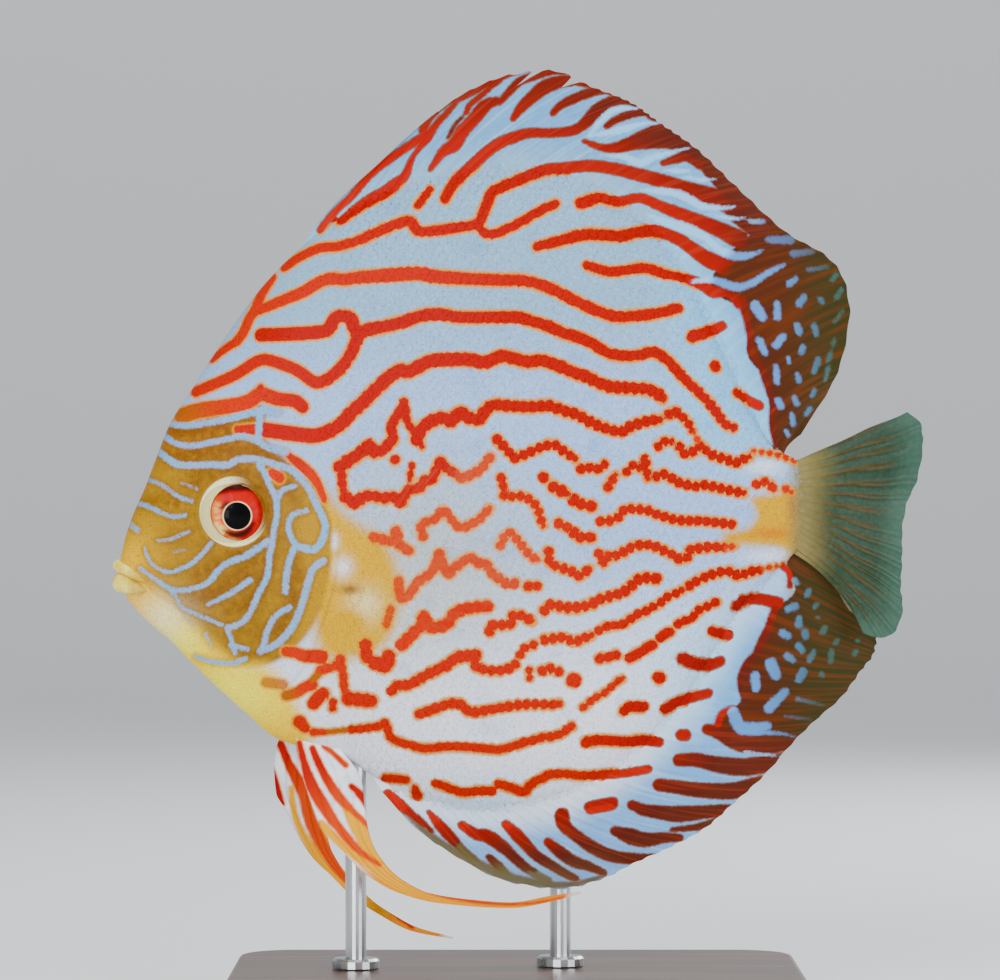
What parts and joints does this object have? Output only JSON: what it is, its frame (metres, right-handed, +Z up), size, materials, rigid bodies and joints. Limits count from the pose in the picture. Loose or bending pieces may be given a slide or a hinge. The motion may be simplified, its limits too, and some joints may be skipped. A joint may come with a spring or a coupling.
{
  "type": "discus fish model",
  "caption": "Life-size still model of a striped discus fish swimming level, with spread fins and trailing pelvic streamers, on a flat base with short rods.",
  "frame": {"origin": "centre of the display base's underside, below the middle of the fish", "axes": "+Z up through the dorsal fin, +X from the snout to the tail, -Y the fish's left side"},
  "size_m": [0.1694, 0.09, 0.1969],
  "materials": {
    "head_skin": "wet amber skin with pale blue lines",
    "lips": "soft cream lips",
    "eye": "wet red eye with a black pupil",
    "body_skin": "fine scales, pale blue with red lines",
    "fin_membrane": "rayed fin, pale blue and red with an amber rim",
    "clear_fin": "thin clear fin with tinted rays",
    "pelvic_fin": "red and white rays, yellow to orange streamers",
    "stand_wood": "dark stained and waxed",
    "stand_steel": "satin rods"
  },
  "bodies": {
    "root": {"head": "head_skin", "jaw": "head_skin", "lip_upper": "lips", "lip_lower": "lips", "eye_left": "eye", "eye_right": "eye", "gill_cover_left": "head_skin", "gill_cover_right": "head_skin", "torso": "body_skin", "tail_base": "body_skin", "dorsal_fin": "fin_membrane", "anal_fin": "fin_membrane", "caudal_fin": "clear_fin", "pectoral_fin_left": "clear_fin", "pectoral_fin_right": "clear_fin", "pelvic_fin_left": "pelvic_fin", "pelvic_fin_right": "pelvic_fin", "stand_base": "stand_wood", "stand_rod_front": "stand_steel", "stand_rod_rear": "stand_steel"}
  },
  "joints": []
}
